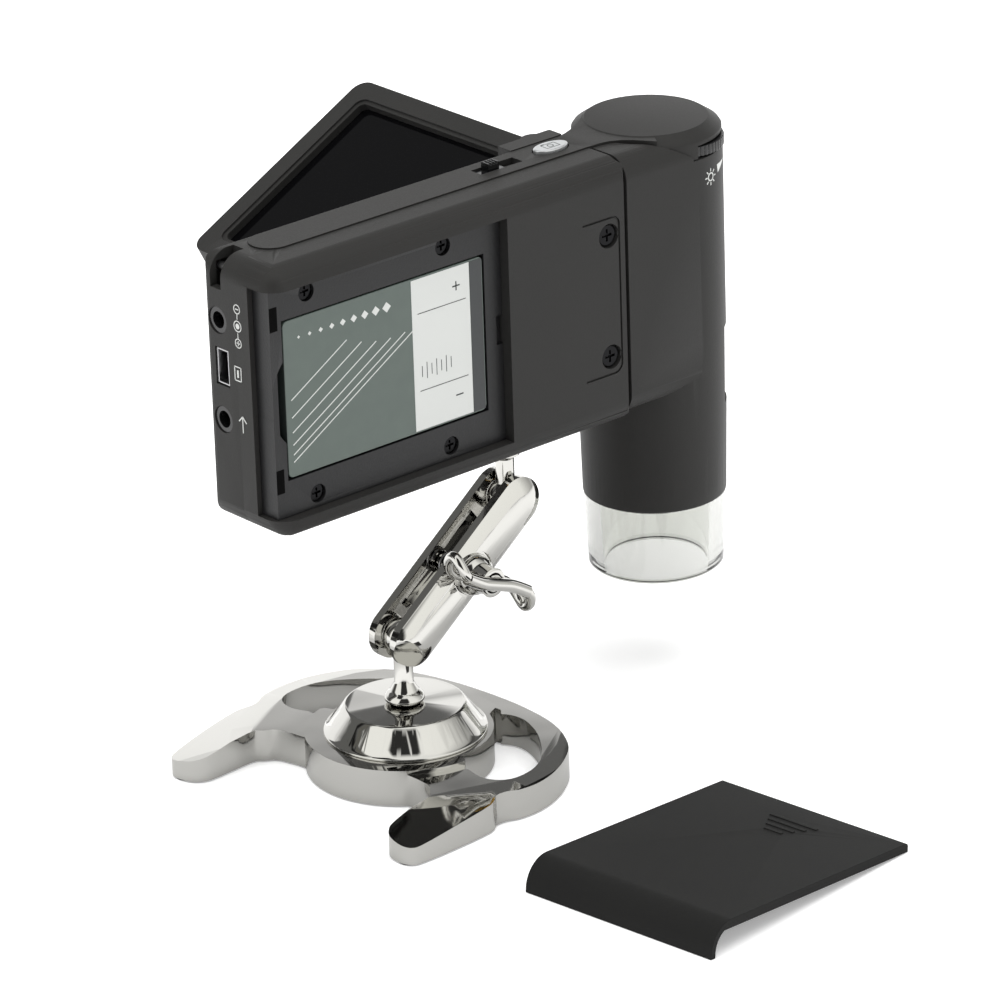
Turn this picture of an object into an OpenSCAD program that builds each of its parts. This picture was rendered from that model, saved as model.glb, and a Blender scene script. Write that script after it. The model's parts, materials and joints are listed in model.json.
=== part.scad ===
// LCD digital microscope on a chrome desk stand, with its battery cover lying beside it.
// Z up, X runs along the body toward the barrel, Y toward the screen side, origin on the floor
// under the ball post. Millimetres.

/* [Body] */
// left end of the body, from the post
body_x0 = -39.5; // [-60:0.5:-20]
// body length from the left end to the neck seam
body_l = 95.85; // [80:0.05:120]
// body thickness
body_t = 22; // [16:0.5:30]
// underside of the body above the floor
body_z0 = 65; // [60:0.5:80]
// body height
body_h = 59.1; // [50:0.1:75]
// rounding of the rear edges
edge_r = 5; // [2:0.5:7]
// casing wall
wall = 1.8; // [1.2:0.1:2.6]
// joint plane between rear and front casing, from the body middle
split_y = 1; // [-1:0.5:2]

/* [Battery] */
// battery length
batt_l = 53; // [40:0.5:56]
// battery height
batt_h = 34; // [28:0.5:38]
// battery thickness
batt_t = 5.7; // [3:0.1:7]
// play round the battery
batt_gap = 0.4; // [0.2:0.1:1]
// depth of the cover recess
bay_d = 2.5; // [1.5:0.1:3.5]

/* [Battery cover] */
// near corner of the cover on the floor, X
cover_x = -15.9; // [-40:0.1:60]
// near corner of the cover on the floor, Y
cover_y = -112.6; // [-140:0.1:-80]
// turn of the cover on the floor
cover_yaw = 7.2; // [-40:0.1:40]
// depth of the hooked lip
lip_d = 7.2; // [4:0.1:9]

/* [Barrel] */
// barrel axis beyond the neck seam
barrel_dx = 20.25; // [19:0.05:26]
// barrel axis, across
barrel_y = 5.2; // [3:0.1:6]
// barrel radius
barrel_r = 16.2; // [14:0.1:20]
// length of the black barrel below the body
barrel_drop = 25.5; // [22:0.5:36]
// visible length of the clear nosepiece
nose_l = 17; // [12:0.5:24]
// lower edge of the focus window, above the end of the black barrel
focus_dz = 20.5; // [19:0.5:24]
// height of the focus window
focus_h = 17.5; // [14:0.5:20]

/* [Screen] */
// screen panel length along the arm
lcd_l = 79; // [70:0.5:90]
// screen panel height
lcd_h = 56.9; // [50:0.1:66]
// screen panel thickness
lcd_t = 7.4; // [6:0.1:9]
// start of the panel from the swing pin
lcd_a0 = 11.2; // [10.8:0.1:14]
// panel tilt at rest, above level
lcd_tilt = 27.4; // [0:0.1:90]

/* [Stand] */
// turn of the casting on the floor
base_yaw = 6.5; // [-30:0.5:30]
// thickness of the crescent
base_h = 7.1; // [5:0.1:10]
// radius of the round boss
boss_r = 21.5; // [19:0.5:24]
// top of the boss above the floor
boss_z = 8.4; // [7.6:0.1:11]
// top of the cone above the floor
cone_z = 14.5; // [11:0.1:15]
// ball radius
ball_r = 4; // [3:0.1:5]
// play between ball and bars
ball_gap = 0.3; // [0.2:0.05:0.5]
// lower ball centre above the floor
ball_z = 29.6; // [27:0.1:34]
// distance between the balls
arm_l = 37.6; // [34:0.1:50]
// arm angle above level
arm_deg = 37.6; // [30:0.1:50]
// width of the clamp bars
bar_w = 11; // [9.5:0.5:14]
// half gap between the bars
bar_y0 = 2.5; // [2.4:0.1:3]
// outer face of the bars from the middle
bar_y1 = 6.4; // [5.8:0.1:8]

/* [Hidden] */
$fn = 48;
x0 = body_x0;
x1 = body_x0 + body_l;
ym = body_t / 2;
z0 = body_z0;
z1 = body_z0 + body_h;
zm = (z0 + z1) / 2;
batt_x0 = x0 + 4.8;
batt_z0 = zm - batt_h / 2 + 0.65;
bay_x1 = batt_x0 + batt_l + 5;
bay_z0 = batt_z0 - 8.3;
bay_z1 = batt_z0 + batt_h + 7.5;
bay_l = bay_x1 - x0;
bay_h = bay_z1 - bay_z0;
bay_y = -ym + bay_d;
lip_y = -ym + 7.55;
strip_z = z1 - 1.2;
strip_t = 1.5;
strip_y0 = -0.3;
strip_y1 = ym - 2;
pin_x = x1 - 5.85;
pin_y = ym;
pin_r = 1.4;
lug_h = 5.1;
sh_b = lcd_t / 2 + 0.6;
head_x = arm_l * cos(arm_deg);
head_z = ball_z + arm_l * sin(arm_deg);
stud_r = 3.1;
relief_x = 7;
shank_r = 2.05;
// the post's collar stands just clear of the cone
post_z = cone_z + 0.3;
slide_x = x1 - 27.85;
snap_x = x1 - 7.25;
key_z = z0 + 9;
jack_dc = zm + 15.45;
jack_av = zm - 6.15;
barrel_x = x1 + barrel_dx;
barrel_z0 = z0 - barrel_drop;
barrel_z1 = z1 - 5.6;
nose_z0 = barrel_z0 - nose_l;
focus_z0 = barrel_z0 + focus_dz;
focus_z1 = focus_z0 + focus_h;
bore_r = barrel_r - 1.5;
cap_z = barrel_z1 + 0.2;
wheel_a = -62;
wheel_r = barrel_r - 6.2;
wheel_o = 6.9;
cr = 0.15;
black = [0.22, 0.22, 0.22];
black2 = [0.3, 0.29, 0.27];
chrome = [0.8, 0.81, 0.82];
clear_c = [0.85, 0.9, 0.92, 0.6];
board_c = [0.1, 0.35, 0.2];
metal = [0.65, 0.65, 0.66];
gold = [0.8, 0.65, 0.3];

// ---------- helpers ----------
module corner(x, y, a, r)
  if (r > 0) translate([x, y]) rotate(a)
    difference() { translate([-1, -1]) square(r + 1); translate([r, r]) circle(r); }
// rectangle with corner radii [left-low, right-low, right-high, left-high]
module rr(xa, ya, xb, yb, r) difference() {
  translate([xa, ya]) square([xb - xa, yb - ya]);
  corner(xa, ya, 0, r[0]);
  corner(xb, ya, 90, r[1]);
  corner(xb, yb, 180, r[2]);
  corner(xa, yb, 270, r[3]);
}
module ex_y(a, b) translate([0, b, 0]) rotate([90, 0, 0]) linear_extrude(b - a) children();
module ex_x(a, b) translate([a, 0, 0]) rotate([90, 0, 90]) linear_extrude(b - a) children();
module ex_z(a, b) translate([0, 0, a]) linear_extrude(b - a) children();
module box(a, b) translate(a) cube(b - a);
module cyl_x(x, y, z, r, l) translate([x, y, z]) rotate([0, 90, 0]) cylinder(r = r, h = l);
module cyl_y(x, y, z, r, l) translate([x, y, z]) rotate([-90, 0, 0]) cylinder(r = r, h = l);
module cyl_z(x, y, z, r, l) translate([x, y, z]) cylinder(r = r, h = l);
function mid(a, b, c, d, t) = 0.5 * ((2 * b) + (c - a) * t + (2 * a - 5 * b + 4 * c - d) * t * t
  + (3 * b - a - 3 * c + d) * t * t * t);
// smooth closed curve through points
function smooth(p, n = 4) = let (m = len(p)) [for (i = [0 : m - 1], k = [0 : n - 1])
  mid(p[(i + m - 1) % m], p[i], p[(i + 1) % m], p[(i + 2) % m], k / n)];
function flip(p) = [for (i = [len(p) - 1 : -1 : 0]) [p[i][0], -p[i][1]]];

// ---------- stand ----------
half_outer = [[-24.8, 11], [-22.4, 21.8], [-17.4, 30.4], [-11.8, 34.6], [-5.8, 37.1], [0.1, 38],
  [5.2, 37.3], [8, 35.9], [10.7, 35.6], [14, 37], [24, 36.7], [32.6, 35.9], [35.4, 34.9],
  [36.3, 32.4], [35.6, 28.8]];
half_inner = [[33.6, 26.8], [31, 26.2], [25.5, 25.9], [20.6, 25.6], [18.6, 24.2], [15.6, 17.6]];
kidney = [[3.5, 20.4], [5.5, 23.4], [6.5, 27.4], [5.7, 30.7], [3.2, 33], [-1.2, 33.5],
  [-6, 32.3], [-11, 28.8], [-16.4, 22.8], [-19.6, 17], [-20.3, 13], [-19.2, 9.8], [-17.2, 8.6]];
leg_foot = [33.6, 32.3];
module base_frame() rotate([0, 0, 180 + base_yaw]) children();
module kidney_cut(s) mirror([0, s, 0]) difference() {
  ex_z(-1, 12) polygon([for (p = concat(smooth(kidney, 3), [[-14, 6], [0, 10]])) p]);
  cyl_z(0, 0, -2, 18.6, 20);
}
module foot_pads(g = 0) {
  cyl_z(0, 0, 0, 7, 0.9);
  for (s = [-1, 1]) {
    cyl_z(leg_foot[0], s * leg_foot[1], 0, 2.4 + g, 1 + g);
    cyl_z(-16.8, s * 27.3, 0, 1.7 + g, 1 + g);
  }
  intersection() {
    difference() { cyl_z(0, 0, 0, 24.2 + g, 1 + g); cyl_z(0, 0, -1, 21.6 - g, 3 + g); }
    translate([-30, -9 - g, -1]) cube([12, 18 + 2 * g, 4]);
  }
}
module base_casting() color(chrome) base_frame() difference() {
  union() {
    intersection() {
      ex_z(0.4, 0.4 + base_h) polygon(smooth(concat([[-25.4, 0]], half_outer, half_inner,
        flip(half_inner), flip(half_outer)), 4));
      // the top falls gently to the rim, then more steeply along the legs
      rotate_extrude() polygon([[0, 0], [60, 0], [60, base_h - 5.2], [37.3, base_h], [24, base_h + 1.2],
        [0, base_h + 1.2]]);
    }
    cyl_z(0, 0, 0.4, boss_r, boss_z - 0.4);
  }
  for (s = [0, 1]) kidney_cut(s);
  cyl_z(0, 0, -1, 4.4, 5);
  cyl_z(0, 0, -1, 2.1, 20);
  foot_pads();
}
module base_cone() color(chrome) rotate_extrude() difference() {
  polygon([[2.1, boss_z], [17.4, boss_z], [17.4, boss_z + 0.5], [16.8, boss_z + 0.9],
    [13.1, cone_z - 0.3], [12.7, cone_z], [2.1, cone_z + 0.15]]);
  polygon([[5, boss_z - 1], [15, boss_z - 1], [15, boss_z + 0.9], [12, cone_z - 1.8],
    [5, cone_z - 1.8]]);
}
module base_feet() color([0.12, 0.12, 0.12]) base_frame() foot_pads();

module ball_post() color(chrome) {
  translate([0, 0, ball_z]) sphere(ball_r);
  rotate_extrude() polygon([[0, 1.4], [1.7, 1.4], [1.7, post_z], [3.2, post_z], [4.1, post_z + 0.4],
    [4.4, post_z + 1], [4.1, post_z + 1.7], [3.4, post_z + 2.4], [3.1, post_z + 2.6],
    [2.6, post_z + 3.5], [shank_r, post_z + 4.6], [shank_r, ball_z], [0, ball_z]]);
}
module post_nut() color(metal) difference() {
  translate([0, 0, 1.3]) cylinder(r = 3.6, h = 2.4, $fn = 6);
  cyl_z(0, 0, -1, 1.7, 8);
}

module arm_frame() translate([0, 0, ball_z]) rotate([0, -arm_deg, 0]) children();
module bar_blank() intersection() {
  ex_y(bar_y0, bar_y1) union() {
    translate([0, -bar_w / 2]) square([arm_l, bar_w]);
    circle(bar_w / 2);
    translate([arm_l, 0]) circle(bar_w / 2);
  }
  let (s = bar_y1 - bar_y0 - 1.9, r = (pow(bar_w / 2, 2) + s * s) / (2 * s))
    cyl_x(-bar_w, bar_y1 - r, 0, r, arm_l + 2 * bar_w);
}
module bar() difference() {
  bar_blank();
  translate([0, 0, 0]) sphere(ball_r + ball_gap);
  translate([arm_l, 0, 0]) sphere(ball_r + ball_gap);
  cyl_y(arm_l / 2, 0, 0, 2.3, 10);
  // long relief with a rib along its middle
  for (s = [-1, 1]) box([relief_x, bar_y0 - 1, s > 0 ? 0.5 : -3.8],
    [arm_l - relief_x, bar_y0 + 1.3, s > 0 ? 3.8 : -0.5]);
}
module arm_bar_near() color(chrome) arm_frame() mirror([0, 1, 0]) difference() {
  bar();
  cyl_y(arm_l / 2, bar_y1 - 0.5, 0, 5.2, 3);
  // milled crescent across the lower end
  translate([-bar_w / 2, bar_y1 + 0.4, 0]) rotate([0, 0, 34]) translate([-6, -3, -10]) cube([12, 6, 20]);
}
module arm_bar_far() color(chrome) arm_frame() difference() {
  bar();
  cyl_y(arm_l / 2, bar_y1 - 1.6, 0, 3.9, 4);
}
module arm_spring() color(metal) arm_frame() difference() {
  union() for (i = [0 : 3]) translate([arm_l / 2, -1.9 + i * 1.2667, 0]) rotate([90, 0, 0])
    rotate_extrude($fn = 32) translate([2.45, 0]) circle(0.3, $fn = 16);
}
module clamp_screw() color(chrome) arm_frame() {
  cyl_y(arm_l / 2, -13.2, 0, 1.95, 18);
  cyl_y(arm_l / 2, bar_y1 - 1.6, 0, 3.6, 1.9);
}
module knob_washer() color(chrome) arm_frame() difference() {
  cyl_y(arm_l / 2, -bar_y1 - 0.3, 0, 4.6, 0.8);
  cyl_y(arm_l / 2, -bar_y1 - 1, 0, 2.25, 3);
}
// one wing, along +X from the hub, knob axis along Z
wing = [[2.6, 1.2], [5, 1.2], [6.6, 1.5], [8, 2.3], [9.2, 3.5], [10.4, 4.4], [12, 4.9], [13.4, 4.8],
  [13.4, 3], [12, 3.1], [11.2, 2.7], [10.2, 1.6], [9, 0.2], [7.4, -0.7], [5.4, -1], [2.6, -1]];
module wing_blade() difference() {
  intersection() {
    translate([0, 4, 0]) rotate([90, 0, 0]) linear_extrude(8) polygon(wing);
    ex_z(-3, 8) union() {
      translate([9.4, 0]) circle(3.9);
      polygon([[2, -3.3], [9.4, -3.9], [9.4, 3.9], [2, 3.3]]);
    }
  }
  ex_z(-3, 8) union() {
    translate([10.2, 0]) circle(1.9);
    translate([7.2, 0]) circle(1.5);
    polygon([[7.2, -1.5], [10.2, -1.9], [10.2, 1.9], [7.2, 1.5]]);
  }
}
module wing_knob() color(chrome) arm_frame() translate([arm_l / 2, -bar_y1 - 0.4, 0])
  rotate([90, 0, 0]) difference() {
    union() {
      rotate_extrude() polygon([[0, 0], [4.1, 0], [4.3, 0.6], [4.1, 1.4], [3.5, 2], [3.5, 4.4],
        [3.9, 4.9], [3.9, 5.6], [3.4, 6.1], [0, 6.1]]);
      for (a = [82, 262]) rotate(-a) translate([0, 0, 3.2]) wing_blade();
    }
    translate([0, 0, -1]) cylinder(r = 2.25, h = 9);
  }
module head_stud() color(chrome) {
  translate([head_x, 0, head_z]) sphere(ball_r);
  translate([head_x, 0, 0]) rotate_extrude() polygon([[0, head_z], [shank_r, head_z],
    [shank_r, z0 - 3.4], [3.3, z0 - 2.6], [3.3, z0 - 0.4], [2.9, z0 - 0.1], [stud_r - 0.3, z0 + 0.2],
    [stud_r, z0 + 0.8], [stud_r, z0 + 5.6], [stud_r - 0.6, z0 + 6.2], [0, z0 + 6.2]]);
}

// ---------- body casing ----------
module casing_blank() intersection() {
  ex_y(-ym, ym) rr(x0, z0, x1, z1, [edge_r, 2, 0, edge_r]);
  ex_x(x0 - 1, x1 + 1) rr(-ym, z0, ym, z1, [edge_r, 2, 2, edge_r]);
  ex_z(z0 - 1, z1 + 1) rr(x0, -ym, x1, ym, [edge_r, 0, 0, 2]);
}
module strip_plan(g = 0) union() {
  translate([x0 + 12.95, (strip_y0 + strip_y1) / 2]) circle((strip_y1 - strip_y0) / 2 + g);
  translate([x0 + 12.95, strip_y0 - g]) square([x1 - x0 - 10, strip_y1 - strip_y0 + 2 * g]);
  polygon([[x1 - 1, strip_y0 - g], [x1 + 2.2, strip_y0 - 0.15 - g], [x1 + 4.4, -0.9 - g],
    [x1 + 6.5, -2.2 - g], [x1 + 8.2, -3.9 - g], [x1 + 9.9, -6.3 - g], [x1 + 11.2, -8.2 - g],
    [barrel_x, barrel_y], [x1 + 13, 16.6 + g], [x1 + 10.5, 14.8 + g], [x1 + 7.6, 12.6 + g],
    [x1 + 4, 10.7 + g], [x1 + 1, strip_y1 + 0.5 + g], [x1 - 1, strip_y1 + g]]);
}
module slot_profile(g) union() {
  translate([slide_x - g, 2.9 - g]) square([11.4 + 2 * g, 3.4 + 2 * g]);
}
module screw_spots(xs, zs) for (i = [0 : len(xs) - 1]) translate([xs[i], 0, zs[i]]) children();
cas_x = [x1 - 5.35, x1 - 5.35];
cas_z = [z1 - 15.7, z0 + 16.3];
bay_sx = [x0 + 11.2, bay_x1 - 15.4, x0 + 12, bay_x1 - 15];
bay_sz = [bay_z1 - 2.6, bay_z1 - 2.6, bay_z0 + 3, bay_z0 + 3];

module rear_casing() color(black) difference() {
  union() {
    difference() {
      intersection() { casing_blank(); box([x0 - 1, -ym - 1, z0 - 1], [x1 + 1, split_y, z1 + 1]); }
      // opening for the bay frame and recess for the cover
      box([x0 + 1.3, -ym - 1, bay_z0], [bay_x1, split_y + 1, bay_z1]);
      box([x0 - 1, -ym - 1, bay_z0], [x0 + 1.4, lip_y, bay_z1]);
      // hollow beside the battery
      box([bay_x1 + wall, -ym + wall, z0 + wall], [x1 - wall, split_y + 1, z1 - 2.2]);
      box([x0 + wall, 0, z0 + wall + 0.5], [x1 - wall, split_y + 1, z1 - 2.2]);
    }
    screw_spots(cas_x, cas_z) cyl_y(0, -ym + 1, 0, 3.4, ym + split_y - 1);
    cyl_z(head_x, 0, z0 + 0.5, 6.4, 8);
  }
  box([x0 - 1, split_y, z0 - 1], [x1 + 1, ym + 1, z1 + 1]);
  screw_spots(cas_x, cas_z) { cyl_y(0, -ym - 1, 0, 2.7, 2.6); cyl_y(0, -ym - 1, 0, 1.1, 20); }
  cyl_z(head_x, 0, z0 - 1, 5, 12);
  ex_z(strip_z, z1 + 1) strip_plan(0.1);
  // styling groove round the screws
  ex_y(-ym - 1, -ym + 0.35) difference() {
    rr(x1 - 12.5, z0 + 12.2, x1 - 2.2, z1 - 11.5, [0, 2.2, 2.2, 0]);
    rr(x1 - 13, z0 + 12.7, x1 - 2.7, z1 - 12, [0, 1.8, 1.8, 0]);
  }
  // finger relief for the cover lip
  for (z = [zm + 16.5, zm - 18.8]) box([x0 + 0.9, -ym + 3.4, z], [x0 + 2, -ym + 6.2, z + 4.9]);
}

module hinge_lug(za, zb) ex_z(za, zb) union() {
  translate([x1 - 14.35, ym - 4]) square([14.35, 6.2]);
  translate([pin_x, pin_y]) circle(3.2);
}
module front_casing() color(black2) difference() {
  union() {
    difference() {
      union() {
        intersection() { casing_blank(); box([x0 - 1, split_y, z0 - 1], [x1 + 1, ym + 1, z1 + 1]); }
        hinge_lug(z0, z0 + lug_h);
        hinge_lug(z1 - lug_h, z1 + 0.5);
      }
      box([x0 + wall, split_y - 1, z0 + wall], [x1 - 14.35 - wall, ym - 1.6, z1 - 2.2]);
      box([x0 + wall, split_y - 1, z0 + wall], [x1 - wall, ym - 5.2, z1 - 2.2]);
      // pocket between the hinge lugs
      box([x1 - 14.35, ym - 3.6, z0 + lug_h], [x1 + 1, ym + 9, z1 - lug_h]);
      cyl_z(pin_x, pin_y, z0 + lug_h, 3.6, body_h - 2 * lug_h);
    }
    screw_spots(cas_x, cas_z) cyl_y(0, split_y, 0, 3, 6.6 - split_y);
    cyl_z(head_x, 0, z0 + 0.5, 6.4, 8);
  }
  box([x0 - 1, -ym - 1, z0 - 1], [x1 + 1, split_y, z1 + 1]);
  screw_spots(cas_x, cas_z) cyl_y(0, -ym, 0, 0.8, ym + 5);
  cyl_z(head_x, 0, z0 - 1, 5, 12);
  ex_z(strip_z, z1 + 1) strip_plan(0.1);
  cyl_z(pin_x, pin_y, z0 + 1, pin_r, body_h - 2);
  // sockets in the left end
  cyl_x(x0 - 1, 6.6, jack_dc, 2.9, 4);
  cyl_x(x0 - 1, 6.2, jack_av, 2.9, 4);
  box([x0 - 1, 3.55, zm + 1.4], [x0 + 3, 7.85, zm + 9.6]);
  // strap slot over the corner
  box([x0 - 1, 5, z1 - 7.2], [x0 + 6.4, 8.4, z1 + 1]);
  // card slot in the underside
  box([x0 + 19.4, 4.3, z0 - 1], [x0 + 44.3, 6.9, z0 + 3]);
  // holes for the power slider foot, the snap stem and the menu buttons
  box([slide_x + 1, 3.6, z1 - 3], [slide_x + 10.5, 5.6, z1]);
  cyl_z(snap_x, 4.6, z1 - 6, 1.6, 7);
  for (i = [0 : 4]) cyl_y(x0 + 14 + 12 * i, ym - 3, key_z, 2.6, 4);
}
module strap_bar() color(metal) cyl_y(x0 + 3.2, 4.5, z1 - 3.6, 0.9, 4.4);

module bay_frame() color([0.16, 0.16, 0.16]) difference() {
  union() {
    box([x0 + 1.4, bay_y, bay_z0 + 0.1], [bay_x1 - 0.1, bay_y + 1.5, bay_z1 - 0.1]);
    box([batt_x0 - 1.8, bay_y, batt_z0 - 1.8], [batt_x0 + batt_l + 3.6, -1.2, batt_z0 + batt_h + 1.8]);
    box([x0 + 1.4, bay_y, bay_z0 + 0.1], [x0 + 2.9, -1.2, bay_z1 - 0.1]);
    screw_spots(bay_sx, bay_sz) cyl_y(0, bay_y, 0, 2.4, 7);
  }
  box([batt_x0 - batt_gap, bay_y - 1, batt_z0 - batt_gap],
    [batt_x0 + batt_l + batt_gap, bay_y + batt_t + 0.3, batt_z0 + batt_h + batt_gap]);
  // contact block seat
  box([batt_x0 + batt_l, bay_y + 1.6, batt_z0 + 18], [batt_x0 + batt_l + 2.4, -2.4, batt_z0 + 32]);
  // finger notch left of the battery
  difference() {
    cyl_y(x0 + 14.1, bay_y - 1, zm + 0.4, 13.1, 6);
    box([batt_x0, bay_y - 2, zm - 20], [x0 + 40, 0, zm + 20]);
  }
  screw_spots(bay_sx, bay_sz) cyl_y(0, bay_y - 1, 0, 2, 2.6);
  screw_spots(bay_sx, bay_sz) cyl_y(0, bay_y - 1, 0, 0.8, 12);
  box([bay_x1 - 1.7, bay_y - 1, zm - 3], [bay_x1 + 1, bay_y + 0.9, zm + 3.4]);
}
module pan_screw(r, l, d) difference() {
  union() { cyl_y(0, 0, 0, r, 1); cyl_y(0, 0, 0, d, l); }
  for (a = [0, 90]) rotate([0, a, 0]) translate([-r * 0.6, -1, -0.25]) cube([r * 1.2, 1.5, 0.5]);
}
module bay_screws() color(metal) screw_spots(bay_sx, bay_sz) translate([0, bay_y + 0.6, 0])
  pan_screw(1.8, 5.8, 0.8);
module casing_screws() color(metal) screw_spots(cas_x, cas_z) translate([0, -ym + 0.6, 0])
  pan_screw(2.2, 13.5, 0.8);
module battery() color([0.28, 0.33, 0.31]) difference() {
  ex_y(bay_y + 0.1, bay_y + 0.1 + batt_t)
    rr(batt_x0, batt_z0, batt_x0 + batt_l, batt_z0 + batt_h, [1.2, 1.2, 1.2, 1.2]);
  for (i = [0 : 2]) box([batt_x0 + batt_l - 0.3, bay_y + 2, batt_z0 + 20.3 + 4 * i],
    [batt_x0 + batt_l + 1, bay_y + 4, batt_z0 + 22.3 + 4 * i]);
}
module battery_contacts() color(gold) {
  box([batt_x0 + batt_l + 1.4, bay_y + 1.6, batt_z0 + 18.4], [batt_x0 + batt_l + 2.4, -2.6, batt_z0 + 31.6]);
  for (i = [0 : 2]) box([batt_x0 + batt_l + 0.25, bay_y + 2.4, batt_z0 + 20.6 + 4 * i],
    [batt_x0 + batt_l + 1.4, bay_y + 3.6, batt_z0 + 22 + 4 * i]);
}
module tripod_bush() color([0.7, 0.6, 0.35]) difference() {
  cyl_z(head_x, 0, z0 + 0.2, 5, 7.8);
  cyl_z(head_x, 0, z0 - 1, stud_r + 0.3, 8);
}
module main_board() color(board_c) difference() {
  union() {
    box([x0 + 4, 2.4, z0 + 4], [x1 - 17, 3.8, z1 - 10.5]);
    box([x0 + 20, 1.4, z0 + 22], [x0 + 32, 2.4, z0 + 34]);
    box([x0 + 52, 3.8, z0 + 24], [x0 + 64, 5, z0 + 36]);
  }
  cyl_z(head_x, 0, z0 - 1, 6.7, 11);
  for (i = [0 : 1]) cyl_y(x0 + 12 + i * 60, 0, z1 - 13.1, 1.3, 6);
}
module round_jack(y, z) difference() {
  union() {
    cyl_x(x0 + 0.3, y, z, 2.8, 2);
    box([x0 + 2, 3.8, z - 3], [x0 + 11.5, y + 2.6, z + 3]);
  }
  cyl_x(x0 - 1, y, z, 1.8, 10.5);
}
module dc_jack() color([0.1, 0.1, 0.1]) {
  round_jack(6.6, jack_dc);
  cyl_x(x0 + 2.5, 6.6, jack_dc, 0.5, 7.2);
}
module av_jack() color([0.1, 0.1, 0.1]) round_jack(6.2, jack_av);
module usb_socket() color(metal) {
  difference() {
    box([x0 + 0.3, 3.8, zm + 1.65], [x0 + 8.6, 7.7, zm + 9.35]);
    box([x0 - 1, 4.2, zm + 2.05], [x0 + 7.8, 7.3, zm + 8.95]);
  }
  box([x0 + 1.6, 5, zm + 2.8], [x0 + 8, 6, zm + 8.2]);
}
module card_slot() color(metal) difference() {
  box([x0 + 19.2, 3.8, z0 + 1.9], [x0 + 44.5, 7.2, z0 + 27]);
  box([x0 + 19.7, 4.4, z0 - 1], [x0 + 44, 6.7, z0 + 26.2]);
}
module top_strip() color(black2) difference() {
  union() {
    ex_z(strip_z + 0.05, strip_z + strip_t) strip_plan();
    translate([barrel_x, barrel_y, 0]) rotate_extrude() polygon([[0, cap_z + 3.9],
      [barrel_r - 1.9, cap_z + 3.3], [barrel_r - 1.9, cap_z], [barrel_r - 0.2, cap_z],
      [barrel_r - 0.2, cap_z + 3.7], [barrel_r - 0.6, cap_z + 4.3], [barrel_r - 3, cap_z + 5.9],
      [0, cap_z + 5.9]]);
  }
  ex_z(strip_z - 1, z1 + 2) slot_profile(0);
  ex_z(strip_z - 1, z1 + 2) translate([snap_x, 4.6]) circle(1.8);
  ex_z(strip_z + 0.6, z1 + 2) translate([snap_x, 4.6]) polygon(oval(4.65, 2.75));
  wheel_at() cyl_z(0, 0, cap_z - 1, wheel_r + 0.35, 3.9);
  wheel_at() cyl_z(0, 0, cap_z + 2, 1.8, 3.1);
}
function oval(a, b) = [for (i = [0 : 39]) [a * cos(i * 9), b * sin(i * 9)]];
module wheel_at() translate([barrel_x + wheel_o * cos(wheel_a), barrel_y + wheel_o * sin(wheel_a), 0])
  children();
module brightness_wheel() color([0.15, 0.15, 0.15]) wheel_at() {
  difference() {
    cyl_z(0, 0, cap_z + 0.3, wheel_r, 2.2);
    for (i = [0 : 59]) rotate(i * 6) translate([wheel_r + 0.15, 0, cap_z - 1]) cylinder(r = 0.42, h = 5, $fn = 4);
  }
  cyl_z(0, 0, cap_z - 1.6, 1.4, 6);
}
module power_slider() color([0.1, 0.1, 0.1]) difference() {
  union() {
    box([slide_x + 0.3, 3.1, strip_z + 0.15], [slide_x + 7.3, 6.1, strip_z + 1.05]);
    box([slide_x + 2.4, 3.4, strip_z + 0.9], [slide_x + 5.4, 5.8, strip_z + 3]);
    box([slide_x + 3, 4.1, z1 - 5.2], [slide_x + 4.8, 5.1, strip_z + 0.3]);
  }
  for (i = [0 : 2]) box([slide_x + 2.9 + 0.8 * i, 3, strip_z + 2.7], [slide_x + 3.3 + 0.8 * i, 6.4, strip_z + 3.2]);
}
module power_switch() color(metal) difference() {
  box([slide_x + 1.2, 3.8, z1 - 7.6], [slide_x + 11.2, 7, z1 - 3.4]);
  box([slide_x + 2.4, 3.8, z1 - 5.6], [slide_x + 10, 5.5, z1 - 3]);
}
module snap_button() color([0.8, 0.8, 0.8]) {
  translate([snap_x, 4.6, 0]) {
    ex_z(strip_z + 1.15, strip_z + 2.2) polygon(oval(4.35, 2.45));
    cyl_z(0, 0, z1 - 4.7, 1.2, 5);
  }
}
module snap_switch() color([0.2, 0.2, 0.22]) {
  box([snap_x - 2.6, 2.4, z1 - 8.6], [snap_x + 2.6, 5.7, z1 - 5.6]);
  cyl_z(snap_x, 4.3, z1 - 5.7, 1, 0.4);
}
module menu_button(i) color([0.25, 0.25, 0.26]) {
  cyl_y(x0 + 14 + 12 * i, ym - 1.5, key_z, 2.3, 1.75);
  cyl_y(x0 + 14 + 12 * i, ym - 3.1, key_z, 1.3, 1.7);
}

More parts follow.
